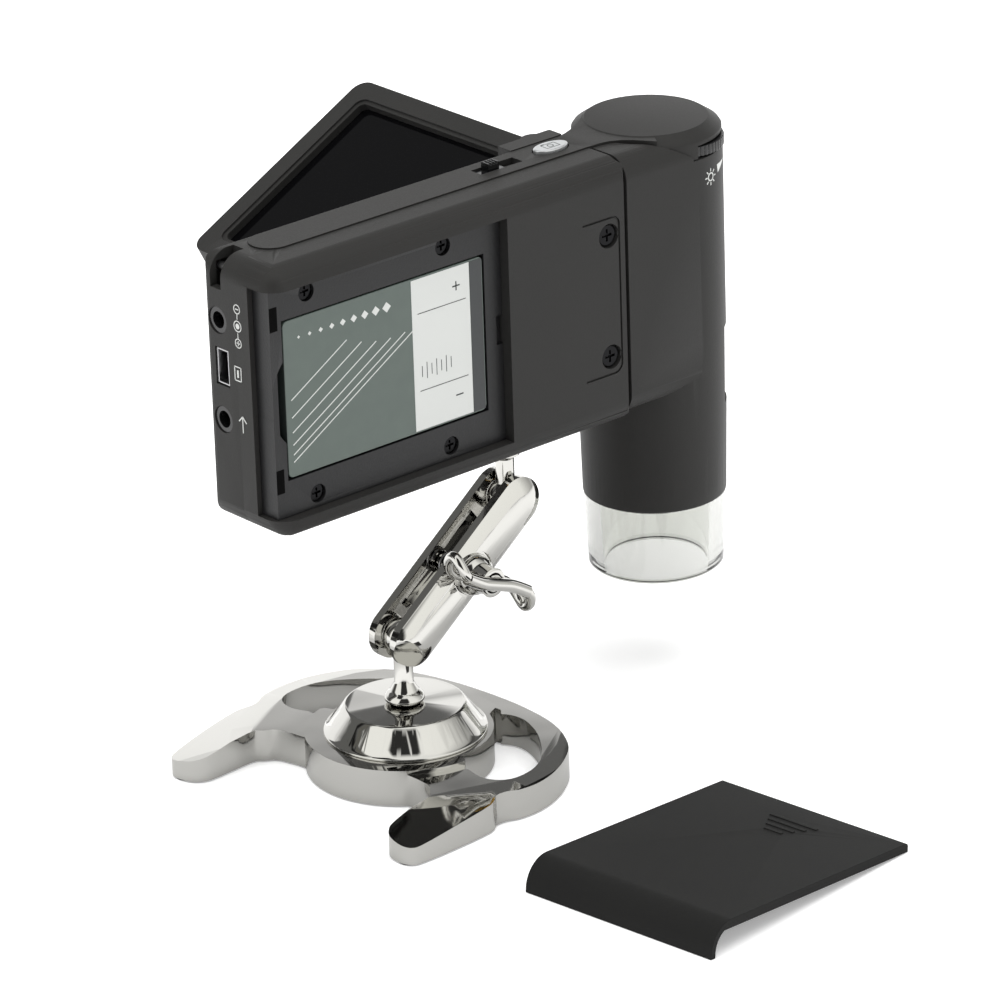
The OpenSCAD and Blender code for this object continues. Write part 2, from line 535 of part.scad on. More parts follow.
// ---------- barrel ----------
module barrel_axis() translate([barrel_x, barrel_y, 0]) children();
module neck_blank(g = 0) intersection() {
  ex_y(-ym, ym + 1.5) rr(x1, z0 + 1.2, barrel_x, z1 - 0.2, [2, 0, 0, 0]);
  ex_x(x1 - 1, barrel_x + 1) rr(-ym, z0 + 1.2, ym + 1.5, z1 - 0.2, [edge_r, 3, 3, edge_r]);
  ex_z(z0, z1 + 1) polygon([[x1, -ym], [barrel_x, -ym], [barrel_x, ym + 1.5], [x1 + 9, ym + 1.5],
    [x1, ym]]);
}
module barrel_housing() color(black) difference() {
  union() {
    barrel_axis() rotate_extrude() polygon([[0, barrel_z0], [barrel_r - 0.7, barrel_z0],
      [barrel_r - 0.6, barrel_z0 + 0.3], [barrel_r - 0.2, focus_z0], [barrel_r, focus_z1],
      [barrel_r, barrel_z1], [0, barrel_z1]]);
    neck_blank();
  }
  barrel_axis() translate([0, 0, barrel_z0 - 1]) cylinder(r = bore_r, h = barrel_z1 - barrel_z0 + 2);
  barrel_axis() cyl_z(0, 0, barrel_z1, barrel_r + 0.05, 12);
  // hollow neck, open to the barrel
  box([x1 + 1.6, -ym + 2.2, z0 + 3.6], [barrel_x - 8, ym - 1.4, barrel_z1 - 1.8]);
  box([x1 - 1, -3, z0 + 30], [x1 + 3, 5, z0 + 44]);
  ex_z(strip_z, z1 + 2) strip_plan(0.1);
  // focus window on the outer side
  barrel_axis() ex_z(focus_z0, focus_z1) intersection() {
    difference() { circle(30); circle(bore_r - 2.7); }
    rotate(15) polygon([[0, 0], [14, -38], [50, -50], [50, 50], [14, 38]]);
  }
}
module focus_wheel() color([0.13, 0.13, 0.13]) barrel_axis() difference() {
  cyl_z(0, 0, focus_z0 + 0.4, bore_r - 0.4, focus_h - 0.8);
  cyl_z(0, 0, focus_z0 - 1, bore_r - 2.4, 30);
  for (i = [0 : 71]) rotate(i * 5) translate([bore_r - 0.25, 0, focus_z0 + 2]) cylinder(r = 0.5,
    h = focus_h - 4, $fn = 4);
}
carr_z = focus_z0 - 10;
lens_r = bore_r - 5.3;
module lens_carriage() color([0.12, 0.12, 0.12]) barrel_axis() translate([0, 0, carr_z]) rotate_extrude()
  polygon([[6, 0], [bore_r - 3.5, 0], [bore_r - 3.5, 8], [bore_r - 2.8, 8], [bore_r - 2.8, 24],
    [lens_r, 24], [lens_r, 6], [6, 3.4]]);
module objective_lenses() color(clear_c) barrel_axis() translate([0, 0, carr_z]) {
  intersection() { cyl_z(0, 0, 8, lens_r, 6); translate([0, 0, -8]) sphere(21.5, $fn = 96); }
  cyl_z(0, 0, 18, lens_r, 2.4);
}
led_z = barrel_z0 + 4.5;
module led_ring() color([0.9, 0.9, 0.88]) barrel_axis() difference() {
  cyl_z(0, 0, led_z, bore_r, 1.6);
  cyl_z(0, 0, led_z - 4, 5.6, 10);
}
led_n = 8;
module leds() color([0.98, 0.97, 0.85]) barrel_axis() for (i = [0 : led_n - 1]) rotate(i * 360 / led_n)
  translate([bore_r - 4.5, 0, led_z - 1.6]) { cylinder(r = 1.5, h = 1.6); sphere(1.5); }
nose_r = barrel_r - 0.7;
module nosepiece() color(clear_c) barrel_axis() rotate_extrude() polygon([[nose_r - 4.1, nose_z0],
  [nose_r - 1.1, nose_z0], [nose_r - 0.75, nose_z0 + 0.3], [nose_r, barrel_z0],
  [bore_r - 0.05, barrel_z0], [bore_r - 0.05, led_z - 0.1], [bore_r - 1.3, led_z - 0.1],
  [bore_r - 1.3, barrel_z0 + 0.6], [nose_r - 3.6, barrel_z0 - 1]]);
module sensor_board() color(board_c) barrel_axis() translate([0, 0, focus_z1 + 6.5]) {
  cylinder(r = bore_r, h = 1.6);
  box([-5, -5, -1.8], [5, 5, 0]);
}

// ---------- screen ----------
module pin_axis() translate([pin_x, pin_y, 0]) children();
module hinge_pin() color(metal) pin_axis() cyl_z(0, 0, z0 + 1, pin_r, body_h - 2);
module hinge_bracket() color(black) pin_axis() difference() {
  union() {
    cyl_z(0, 0, z0 + lug_h + 0.6, 3, body_h - 2 * lug_h - 1.2);
    box([0.4, 0, z0 + lug_h + 0.6], [3.2, 4, z1 - lug_h - 0.6]);
    ex_z(z0 + lug_h + 0.6, z1 - lug_h - 0.6) rr(0.4, 3.2, sh_b * 2 - 0.4, lcd_a0 - 0.5, [1, 2, 1, 1]);
  }
  cyl_z(0, 0, z0, pin_r + 0.35, body_h);
  cyl_y(sh_b, 4.6, zm, 2.2, 10);
}
module lcd_frame() translate([pin_x + sh_b, pin_y, zm]) rotate([0, -lcd_tilt, 0]) children();
module tilt_shaft() color(metal) lcd_frame() {
  cyl_y(0, 5.2, 0, 1.8, lcd_a0 - 2.3);
  box([-9, lcd_a0 + 1.6, -3], [6, lcd_a0 + 2.9, -0.9]);
}
// the shaft lies off the middle of the panel, toward its upper front
module panel_frame() lcd_frame() translate([-1.5, 0, -1.2]) children();
module shaft_bore() translate([1.5, 0, 1.2]) cyl_y(0, lcd_a0 - 1, 0, 1.8, 4.2);
hs = lcd_h / 2;
ht = lcd_t / 2;
la = lcd_a0 + lcd_l;
lcd_sx = [-hs + 4.6, hs - 4.6, -hs + 4.6, hs - 4.6];
lcd_sy = [lcd_a0 + 4.6, lcd_a0 + 4.6, la - 4.6, la - 4.6];
module lcd_back() color(black) panel_frame() difference() {
  intersection() {
    ex_z(-ht, 0.4) rr(-hs, lcd_a0, hs, la, [3.5, 3.5, 3.5, 3.5]);
    ex_y(lcd_a0 - 1, la + 1) rr(-hs, -ht, hs, ht, [2, 2, 0, 0]);
    ex_x(-hs - 1, hs + 1) rr(lcd_a0, -ht, la, ht, [2, 2, 0, 0]);
  }
  difference() {
    ex_z(-ht + 1.5, 1) rr(-hs + 1.6, lcd_a0 + 1.6, hs - 1.6, la - 1.6, [2, 2, 2, 2]);
    for (i = [0 : 3]) cyl_z(lcd_sx[i], lcd_sy[i], -ht, 2.4, lcd_t);
  }
  for (i = [0 : 3]) {
    cyl_z(lcd_sx[i], lcd_sy[i], -ht - 1, 1.7, 1.9);
    cyl_z(lcd_sx[i], lcd_sy[i], -ht - 1, 0.75, lcd_t);
  }
  shaft_bore();
}
module lcd_bezel() color(black) panel_frame() difference() {
  ex_z(0.4, ht) rr(-hs, lcd_a0, hs, la, [3.5, 3.5, 3.5, 3.5]);
  // stepped opening
  ex_z(0, ht + 1) rr(-hs + 5.6, lcd_a0 + 8.6, hs - 5.6, la - 5.6, [1.6, 1.6, 1.6, 1.6]);
  ex_z(ht - 0.5, ht + 1) rr(-hs + 4.6, lcd_a0 + 7.6, hs - 4.6, la - 4.6, [2.4, 2.4, 2.4, 2.4]);
  box([-hs + 4.8, lcd_a0 + 7.6, 0], [hs - 4.8, la - 4.8, ht - 2.2]);
  shaft_bore();
  for (i = [0 : 3]) cyl_z(lcd_sx[i], lcd_sy[i], -ht, 0.75, lcd_t - 1.2);
}
module lcd_glass() color([0.06, 0.06, 0.07]) panel_frame()
  box([-hs + 5, lcd_a0 + 7.8, ht - 3.2], [hs - 5, la - 5, ht - 2.2]);
module lcd_display() color([0.5, 0.52, 0.55]) panel_frame()
  box([-hs + 5.4, lcd_a0 + 8.2, -1.4], [hs - 5.4, la - 7.6, ht - 3.2]);
module lcd_screws() color(metal) panel_frame() for (i = [0 : 3]) translate([lcd_sx[i], lcd_sy[i], -ht + 0.3])
  rotate([90, 0, 0]) pan_screw_up();
module pan_screw_up() difference() {
  union() { cyl_y(0, 0, 0, 1.55, 0.6); cyl_y(0, 0, 0, 0.75, 3.7); }
  for (a = [0, 90]) rotate([0, a, 0]) translate([-1, -1, -0.2]) cube([2, 1.3, 0.4]);
}

// ---------- battery cover on the floor ----------
cov_l = bay_l - 0.5;
cov_h = bay_h - 0.6;
cov_t = 1.4;
skirt = 2;
cov_r = 6.2;
cov_tilt = atan((lip_d - skirt) / cov_l) + 0.07;
module battery_cover() color(black) translate([cover_x, cover_y, 0]) rotate([0, 0, cover_yaw])
  translate([0, 0, lip_d + 0.09]) rotate([0, cov_tilt, 0]) difference() {
    union() {
      ex_y(0, cov_h) rr(0, -lip_d, cov_l, 0, [0, 0, 0.8, cov_r]);
      for (i = [0 : 3]) translate([cov_l - 8.6 + i * 0, cov_h / 2 - 1, 0])
        box([-i * 2.2, -6.2 + i * 1.3, -0.5], [-i * 2.2 + 0.9, 6.2 - i * 1.3, 0.25]);
    }
    ex_y(cov_t, cov_h - cov_t) rr(cov_t, -lip_d - 1, cov_l - cov_t, -cov_t, [0, 0, 0, cov_r - cov_t]);
    // beside the lip only its own curved sheet goes below the skirt
    ex_y(-1, cov_h + 1) intersection() {
      rr(cov_t, -lip_d - 1, cov_l + 2, -cov_t, [0, 0, 0, cov_r - cov_t]);
      translate([0, -lip_d - 1]) square([cov_l + 2, lip_d + 1 - skirt]);
    }
  }

base_casting();
base_cone();
base_feet();
ball_post();
post_nut();
arm_bar_near();
arm_bar_far();
arm_spring();
clamp_screw();
knob_washer();
wing_knob();
head_stud();
rear_casing();
front_casing();
strap_bar();
bay_frame();
bay_screws();
battery();
battery_contacts();
casing_screws();
tripod_bush();
main_board();
dc_jack();
usb_socket();
av_jack();
card_slot();
top_strip();
power_slider();
power_switch();
snap_button();
snap_switch();
menu_button(0);  // menu_button_1
menu_button(1);  // menu_button_2
menu_button(2);  // menu_button_3
menu_button(3);  // menu_button_4
menu_button(4);  // menu_button_5
barrel_housing();
brightness_wheel();
focus_wheel();
lens_carriage();
objective_lenses();
led_ring();
leds();
nosepiece();
sensor_board();
hinge_pin();
hinge_bracket();
tilt_shaft();
lcd_back();
lcd_bezel();
lcd_glass();
lcd_display();
lcd_screws();
battery_cover();
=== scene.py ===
"""Looks for an LCD digital microscope on a chrome desk stand, in metres, Z up."""

import json
import math

import bmesh
import bpy
from mathutils import Matrix, Vector

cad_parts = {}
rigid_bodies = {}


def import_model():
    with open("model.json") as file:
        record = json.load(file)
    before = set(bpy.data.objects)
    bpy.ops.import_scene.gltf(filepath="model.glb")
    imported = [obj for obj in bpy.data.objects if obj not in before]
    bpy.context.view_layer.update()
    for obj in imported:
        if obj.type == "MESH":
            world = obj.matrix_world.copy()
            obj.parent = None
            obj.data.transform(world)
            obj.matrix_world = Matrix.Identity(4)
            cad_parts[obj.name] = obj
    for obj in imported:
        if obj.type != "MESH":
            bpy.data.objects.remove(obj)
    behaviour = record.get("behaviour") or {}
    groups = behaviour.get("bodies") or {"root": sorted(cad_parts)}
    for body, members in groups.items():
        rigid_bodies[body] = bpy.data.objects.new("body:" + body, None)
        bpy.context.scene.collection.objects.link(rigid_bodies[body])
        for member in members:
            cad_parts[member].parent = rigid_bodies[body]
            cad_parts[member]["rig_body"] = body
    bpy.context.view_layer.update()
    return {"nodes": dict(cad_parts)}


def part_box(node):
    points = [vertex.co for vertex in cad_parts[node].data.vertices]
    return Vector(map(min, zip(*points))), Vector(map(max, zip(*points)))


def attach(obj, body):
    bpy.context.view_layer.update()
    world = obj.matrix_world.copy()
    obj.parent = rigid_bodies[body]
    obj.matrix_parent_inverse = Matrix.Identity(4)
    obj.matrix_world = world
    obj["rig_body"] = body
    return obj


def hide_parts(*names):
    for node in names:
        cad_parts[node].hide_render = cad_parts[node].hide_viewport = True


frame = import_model()
nodes = frame["nodes"]

# ---------------------------------------------------------------- stand castings
# The foot is a zinc die casting and the cone over its boss is a turned cover. Both are polished
# and chrome plated, so every edge is slightly rounded by the polishing wheel.
MM = 0.001  # sizes are given in millimetres, the scene is in metres
WELD = 3e-6  # corners of loose triangles that lie closer than this are one corner
LEVEL = math.radians(0.6)  # faces that meet at less than this are one flat face


def srgb(code):
    """Turns a six-digit sRGB hex colour into linear RGBA."""
    parts = [int(code[i : i + 2], 16) / 255 for i in (0, 2, 4)]
    return (*[c / 12.92 if c <= 0.04045 else ((c + 0.055) / 1.055) ** 2.4 for c in parts], 1.0)


def add(tree, kind, links=None, **settings):
    """Adds a shader node, sets its options, then fills or links its inputs."""
    made = tree.nodes.new(kind)
    for name, value in settings.items():
        setattr(made, name, value)
    for name, value in (links or {}).items():
        if isinstance(value, bpy.types.NodeSocket):
            tree.links.new(value, made.inputs[name])
        else:
            made.inputs[name].default_value = value
    return made


def finish(name, hexcode, **sockets):
    """Starts a material on the standard shader with the values that are the same all over."""
    made = bpy.data.materials.new(name)
    made.use_nodes = True
    shader = made.node_tree.nodes["Principled BSDF"]
    shader.inputs["Base Color"].default_value = srgb(hexcode)
    for key, value in sockets.items():
        shader.inputs[key.replace("_", " ")].default_value = value
    made.diffuse_color = srgb(hexcode)
    return made


def mottled(surface, scale, detail=2.0, rough=None, relief=None, tones=None):
    """Lets one cloudy pattern, fixed to the piece, vary a finish where it is asked to.

    rough is the smoothest and roughest value, relief a strength and a depth in metres, and
    tones two hex colours.
    """
    tree = surface.node_tree
    shader = tree.nodes["Principled BSDF"]
    where = add(tree, "ShaderNodeTexCoord")
    links = {"Vector": where.outputs["Object"], "Scale": scale, "Detail": detail}
    cloud = add(tree, "ShaderNodeTexNoise", links).outputs["Fac"]
    if rough:
        links = {"Value": cloud, "To Min": rough[0], "To Max": rough[1]}
        haze = add(tree, "ShaderNodeMapRange", links)
        tree.links.new(haze.outputs["Result"], shader.inputs["Roughness"])
    if relief:
        links = {"Height": cloud, "Strength": relief[0], "Distance": relief[1]}
        wave = add(tree, "ShaderNodeBump", links)
        tree.links.new(wave.outputs["Normal"], shader.inputs["Normal"])
    if tones:
        links = {"Factor": cloud, "A": srgb(tones[0]), "B": srgb(tones[1])}
        shade = add(tree, "ShaderNodeMix", links, data_type="RGBA")
        tree.links.new(shade.outputs["Result"], shader.inputs["Base Color"])


def shown(name, bm, surface, corner=None):
    """Makes an object of one finish; edges that turn by more than corner degrees stay crisp."""
    mesh = bpy.data.meshes.new(name)
    bm.to_mesh(mesh)
    bm.free()
    mesh.materials.append(surface)
    if corner:
        mesh.set_sharp_from_angle(angle=math.radians(corner))
    piece = bpy.data.objects.new(name, mesh)
    bpy.context.scene.collection.objects.link(piece)
    return piece


def dressed(node, surface, edge=0.0, steps=3, corner=28, reshape=None):
    """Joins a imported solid's loose triangles, rounds its edges and gives it a finish."""
    source = nodes[node]
    bm = bmesh.new()
    bm.from_mesh(source.data)
    bmesh.ops.remove_doubles(bm, verts=bm.verts, dist=WELD)
    bmesh.ops.dissolve_limit(bm, angle_limit=LEVEL, verts=bm.verts, edges=bm.edges)
    if reshape:
        reshape(bm)
    for face in bm.faces:
        face.smooth = True
    piece = shown(node + "_shown", bm, surface, corner)
    if edge:
        rounding = piece.modifiers.new("edge", "BEVEL")
        rounding.width = edge * MM
        rounding.segments = steps
        rounding.limit_method = "ANGLE"
        rounding.angle_limit = math.radians(corner)
        rounding.harden_normals = True
    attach(piece, source["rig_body"])
    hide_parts(node)


# Bright decorative chrome: a clear mirror with the faint ripple that buffing leaves on a casting.
chrome = finish("chrome_plate_buffed", "bfbeba", Metallic=1.0, Roughness=0.07)
mottled(chrome, 60.0, detail=1.0, rough=(0.03, 0.09), relief=(0.05, 0.0005))
dressed("base_casting", chrome, edge=0.7, steps=4)
dressed("base_cone", chrome, edge=0.18, steps=3)

# Rubber feet, cut from sheet and glued into pockets under the casting: dull, with fine pores.
rubber = finish("nitrile_rubber_feet", "1c1c1b", Roughness=0.85)
mottled(rubber, 1500.0, relief=(0.3, 0.0002))
dressed("base_feet", rubber, edge=0.1, steps=2)

# ---------------------------------------------------------------- ball arm
# Two turned ball studs held between a pair of grooved bars by one screw and a looped wing nut.
# They are chrome plated like the foot; the nut under the post and the spring are plain zinc.
for name, radius in (("ball_post", 0.15), ("head_stud", 0.15),
                     ("clamp_screw", 0.3), ("knob_washer", 0.12)):
    dressed(name, chrome, edge=radius, steps=2)

# the lower ball's height, the arm's slope, and the distance between the balls
ball_height, arm_slope, arm_span = 29.6, math.radians(37.6), 37.6
# a bar's half width, and how far its outer face and that face's rim lie from the middle plane
bar_half, bar_face, bar_rim = 5.5, 6.4, 4.4


def sliced(bm, near, point, line):
    """Cuts each face that has a corner where near() holds, by the plane across line at point."""
    faces = [f for f in bm.faces if any(near(v) for v in f.verts)]
    edges = list({e for f in faces for e in f.edges})
    verts = list({v for f in faces for v in f.verts})
    bmesh.ops.bisect_plane(bm, geom=faces + edges + verts, dist=1e-7, plane_co=point, plane_no=line)


def domed_ends(bm):
    """Turns both ends of a clamp bar over the crown, so that the outer face ends in half domes."""
    along = Vector((math.cos(arm_slope), 0, math.sin(arm_slope)))
    athwart = Vector((-math.sin(arm_slope), 0, math.cos(arm_slope)))
    crown = (bar_half ** 2 + (bar_face - bar_rim) ** 2) / (2 * (bar_face - bar_rim))
    low_ball = Vector((0, 0, ball_height * MM))
    for end, sense in ((low_ball, -1), (low_ball + along * arm_span * MM, 1)):
        for degrees in range(0, 90, 14):
            reach = bar_half * MM * math.sin(math.radians(degrees))
            for line in (along * sense, athwart, -athwart):
                sliced(bm, lambda v: (v.co - end).dot(along) * sense > -MM,
                       end + line * reach, line)
        for vert in bm.verts:
            out = (vert.co - end) / MM
            if out.dot(along) * sense > 0:
                radius = min(math.hypot(out.dot(along), out.dot(athwart)), bar_half)
                top = bar_face - crown + math.sqrt(crown ** 2 - radius ** 2)
                vert.co.y = math.copysign(min(abs(vert.co.y), top * MM), vert.co.y)


for name in ("arm_bar_near", "arm_bar_far"):
    dressed(name, chrome, edge=0.3, steps=3, reshape=domed_ends)


def turned(bm, outline, centre, axis, steps):
    """Spins a closed outline once round an axis through a centre."""
    ends = [bm.verts.new(point) for point in outline]
    rim = [bm.edges.new((ends[i], ends[(i + 1) % len(ends)])) for i in range(len(ends))]
    bmesh.ops.spin(bm, geom=ends + rim, cent=centre, axis=axis, angle=math.tau, steps=steps,
                   use_merge=True)


# The wing nut is one casting: a turned hub with two looped wings. Each wing stands on edge along
# the screw and bends, so the pair makes a flat S for the fingers to push. A strap over the end of
# the hub joins them.
knob_at = (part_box("clamp_screw")[0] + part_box("clamp_screw")[1]) / 2
knob_at.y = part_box("knob_washer")[0].y
# radius, and distance from the washer
hub = [(2.3, 0.05), (4.1, 0.05), (4.3, 0.6), (4.1, 1.2), (3.2, 1.9), (3.0, 5.4), (3.2, 5.9),
       (2.9, 6.1), (2.3, 6.1)]
bm = bmesh.new()
turned(bm, [(knob_at.x + r * MM, knob_at.y - n * MM, knob_at.z) for r, n in hub],
       knob_at, (0, 1, 0), steps=64)
# radius, distance from the washer, and sideways bend
loop = [(2.4, 2.6, 0.3), (4.4, 1.9, 0.9), (7, 1.5, 1.4), (9.5, 1.7, 0.9), (11.8, 2.9, -0.9),
        (12.7, 4.6, -2.3), (12.1, 6.5, -1.2), (9.9, 7.5, 0.8), (7, 7.1, 1.4), (4.4, 6.2, 0.9),
        (2.4, 5.4, 0.3)]
strap = [(-9, 7.3, -1.1), (-5, 7.0, -1.1), (-2, 7.0, -0.5), (2, 7.0, 0.5), (5, 7.0, 1.1),
         (9, 7.3, 1.1)]
wing_lean = math.radians(-33)
for side, route, thick in ((1, loop, 1.15), (-1, loop, 1.15), (1, strap, 1.45)):
    wire = bpy.data.curves.new("wing_wire", "CURVE")
    wire.dimensions = "3D"
    wire.bevel_depth = thick * MM
    wire.bevel_resolution = 4
    wire.resolution_u = 6
    wire.use_fill_caps = route is strap
    track = wire.splines.new("NURBS")
    track.points.add(len(route) - 1)
    track.use_cyclic_u = route is loop
    track.use_endpoint_u = route is strap
    track.order_u = 3
    for point, (r, n, t) in zip(track.points, route):
        x = side * (r * math.cos(wing_lean) - t * math.sin(wing_lean))
        z = side * (r * math.sin(wing_lean) + t * math.cos(wing_lean))
        point.co = (knob_at.x + x * MM, knob_at.y - n * MM, knob_at.z + z * MM, 1)
    former = bpy.data.objects.new("wing_wire", wire)
    bm.from_mesh(bpy.data.meshes.new_from_object(former))
    bpy.data.objects.remove(former)
bmesh.ops.recalc_face_normals(bm, faces=bm.faces)
for face in bm.faces:
    face.smooth = True
wing_nut = shown("wing_knob_shown", bm, chrome, corner=35)
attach(wing_nut, nodes["wing_knob"]["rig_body"])
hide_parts("wing_knob")

# Bright zinc on small steel parts: whiter and duller than the chrome.
zinc = finish("zinc_plated_steel", "a9a9aa", Metallic=1.0, Roughness=0.32)
mottled(zinc, 900.0, detail=4.0, rough=(0.22, 0.42))
for name in ("post_nut", "arm_spring"):
    dressed(name, zinc, edge=0.08, steps=2)

# ---------------------------------------------------------------- body casings
# Two injection-moulded ABS shells with a soft-touch lacquer. The lacquer is almost matt, with a
# very fine leathery grain and a slight warm sheen where it catches the light.
soft = finish("soft_touch_lacquer_on_abs", "252524", Roughness=0.52, Specular_IOR_Level=0.2,
              Sheen_Weight=0.04, Sheen_Roughness=0.45)
mottled(soft, 45.0, detail=3.0, tones=("232322", "272625"))
# grain of 0.3 mm, twice the real one, so that it shows
GRAIN, GRAIN_RELIEF = 3300.0, (0.18, 0.00012)
mottled(soft, GRAIN, rough=(0.46, 0.6), relief=GRAIN_RELIEF)

shell_low, shell_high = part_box("rear_casing")
ROUND = 5 * MM  # along the rear edges and at the upper left corner
LOW_ROUND = 6.2 * MM  # at the lower left corner
SKIN = 1.7 * MM  # what lies deeper than this is the inner face of the wall
WALL = 1.8 * MM  # how much tighter the inner face turns
REAR_FLOOR = 3.3 * MM  # behind the round's centre, where the rear wall's inner face lies
FRONT_FLOOR = 9.5 * MM  # where the front wall's inner face lies
ROUND_CUTS = [math.sin(math.radians(step * 11.25)) for step in range(1, 9)]
JOINT_WIDE, JOINT_DEEP = 0.9 * MM, 1.1 * MM  # the casing's half of the V beside the neck


def finished_shell(bm):
    """Rolls the rear corners of the left end to full rounds and cuts the V beside the neck."""
    for up, z, turn in ((-1, shell_low.z, LOW_ROUND), (1, shell_high.z, ROUND)):
        centre = Vector((shell_low.x + turn, shell_low.y + ROUND, z - up * turn))
        sides = ((Vector((-1, 0, 0)), turn), (Vector((0, -1, 0)), ROUND),
                 (Vector((0, 0, up)), turn))
        for share in ROUND_CUTS:
            for line, size in sides:
                sliced(bm, lambda v: v.co.x < centre.x + MM and (v.co.z - centre.z) * up > -MM,
                       centre + line * size * share, line)
        for vert in bm.verts:
            out = vert.co - centre
            flat = Vector((out.x, 0, out.z))
            if out.x >= 0 or out.z * up <= 0:
                continue
            deep = vert.co.x > shell_low.x + SKIN and (z - vert.co.z) * up > SKIN
            inside = deep and out.y > -REAR_FLOOR
            most = turn - (WALL if inside else 0)
            if out.y < 0 and not inside:
                ball = flat.normalized() * (turn - ROUND)
                away = out - ball
                if away.length > ROUND and flat.length > turn - ROUND:
                    vert.co = centre + ball + away * (ROUND / away.length)
            elif flat.length > most:
                vert.co = centre + flat * (most / flat.length) + Vector((0, out.y, 0))
    bmesh.ops.bisect_plane(bm, geom=bm.verts[:] + bm.edges[:] + bm.faces[:], dist=1e-7,
                           plane_co=(shell_high.x - JOINT_WIDE, 0, 0), plane_no=(1, 0, 0))
    foot, head = shell_low.z + JOINT_DEEP, shell_high.z - JOINT_DEEP - 0.2 * MM
    for vert in bm.verts:
        if vert.co.x > shell_high.x - 0.01 * MM:
            vert.co.y = max(vert.co.y, shell_low.y + JOINT_DEEP)
            vert.co.z = min(max(vert.co.z, foot), head)


def rounded_front(bm):
    """Carries the lower left round across the front shell."""
    centre = Vector((shell_low.x + LOW_ROUND, 0, shell_low.z + LOW_ROUND))
    for share in ROUND_CUTS:
        for line in (Vector((-1, 0, 0)), Vector((0, 0, -1))):
            sliced(bm, lambda v: v.co.x < centre.x + MM and v.co.z < centre.z + MM,
                   centre + line * (LOW_ROUND * share), line)
    for vert in bm.verts:
        flat = Vector((vert.co.x - centre.x, 0, vert.co.z - centre.z))
        if flat.x >= 0 or flat.z >= 0:
            continue
        deep = vert.co.x > shell_low.x + SKIN and vert.co.z > shell_low.z + SKIN
        most = LOW_ROUND - (WALL if deep and vert.co.y < FRONT_FLOOR else 0)
        if flat.length > most:
            flat *= most / flat.length
            vert.co.x, vert.co.z = centre.x + flat.x, centre.z + flat.z


dressed("rear_casing", soft, edge=0.2, steps=2, reshape=finished_shell)
dressed("front_casing", soft, edge=0.28, steps=3, reshape=rounded_front)
dressed("strap_bar", zinc, edge=0.1, steps=2)

# ---------------------------------------------------------------- battery bay and battery
# The bay is a separate unpainted moulding, darker and a little shinier than the lacquered shells.
# Four black screws hold it, and three gilt springs touch the cell.
bare = finish("black_abs_spark_eroded", "1b1b1c", Roughness=0.42, Specular_IOR_Level=0.3)
# grain of 0.45 mm, coarser than the real one, so that it shows
mottled(bare, 2200.0, detail=3.0, rough=(0.34, 0.5), relief=(0.25, 0.00015))
dressed("bay_frame", bare, edge=0.2, steps=2)

# Black oxide on the small screws leaves a dark, slightly uneven gleam.
oxide = finish("black_oxide_steel", "1d1d1e", Metallic=1.0, Roughness=0.2)
mottled(oxide, 1800.0, rough=(0.12, 0.3))
for name in ("bay_screws", "casing_screws", "lcd_screws"):
    dressed(name, oxide, edge=0.08, steps=2)

# Thin gold over nickel, warm and faintly clouded, on the contact springs and the thread bush.
gilt = finish("gilt_contact_brass", "c9a257", Metallic=1.0, Roughness=0.28)
mottled(gilt, 700.0, rough=(0.2, 0.38))
for name in ("battery_contacts", "tripod_bush"):
    dressed(name, gilt, edge=0.06, steps=2)

# The cell is wrapped in a printed film with a light satin gloss.
wrap = finish("printed_film_green_grey", "3c4642", Roughness=0.35, Specular_IOR_Level=0.35,
              Coat_Weight=0.1, Coat_Roughness=0.25)
mottled(wrap, 260.0, detail=3.0, tones=("4c5651", "535e58"))
dressed("battery", wrap, edge=0.35, steps=3)


def plates(name, surface, body, shapes):
    """One object from flat plates, each (size, centre, turn about Y in degrees)."""
    bm = bmesh.new()
    for size, centre, turn in shapes:
        lean = Matrix.Rotation(math.radians(turn), 4, "Y")
        sized = Matrix.Diagonal((*[s * MM for s in size], 1))
        place = Matrix.Translation(Vector(centre) * MM) @ lean @ sized
        bmesh.ops.create_cube(bm, size=1, matrix=place)
    piece = shown(name, bm, surface)
    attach(piece, body)


# Printed areas: a white field, a dark end cap and an invented pattern of slanting lines and
# growing diamonds. The inks are satin, and each lies a few hundredths of a millimetre proud.
white_ink = finish("white_print", "c6c8c5", Roughness=0.35)
mottled(white_ink, 400.0, rough=(0.28, 0.42))
end_cap = finish("moulded_end_cap", "26292a", Roughness=0.4)
mottled(end_cap, 1500.0, relief=(0.2, 0.0001))
grey_ink_and_shade = finish("dark_print_and_painted_shade", "2a302e", Roughness=0.4)
mottled(grey_ink_and_shade, 600.0, rough=(0.34, 0.46))

cell_low, cell_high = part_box("battery")
left, right = cell_low.x / MM, cell_high.x / MM
lower, upper = cell_low.z / MM, cell_high.z / MM
middle = (lower + upper) / 2
film_y = cell_low.y / MM
light_y, dark_y = film_y - 0.02, film_y - 0.05
INK = 0.05
plates("battery_white_field", white_ink, "battery",
       [((15.6, 0.06, upper - lower - 0.8), (right - 11.4, film_y - 0.01, middle), 0)])
plates("battery_end_cap", end_cap, "battery",
       [((3.2, 0.08, upper - lower - 0.7), (right - 1.9, film_y - 0.02, middle), 0)])

fan = []
slope = math.radians(31)
for i in range(6):
    reach = 40 - i * 4.5
    x = left + 1.4 + reach / 2 * math.cos(slope)
    z = lower + 3.2 + i * (1.3 + i * 0.28) + reach / 2 * math.sin(slope)
    fan.append(((reach, INK, 0.22), (x, light_y, z), -31))
for i in range(9):
    wide = 0.5 + i * 0.14
    fan.append(((wide, INK, wide), (left + 4 + i * 2.9, light_y, upper - 4.2), 45))
plates("battery_light_lines", white_ink, "battery", fan)
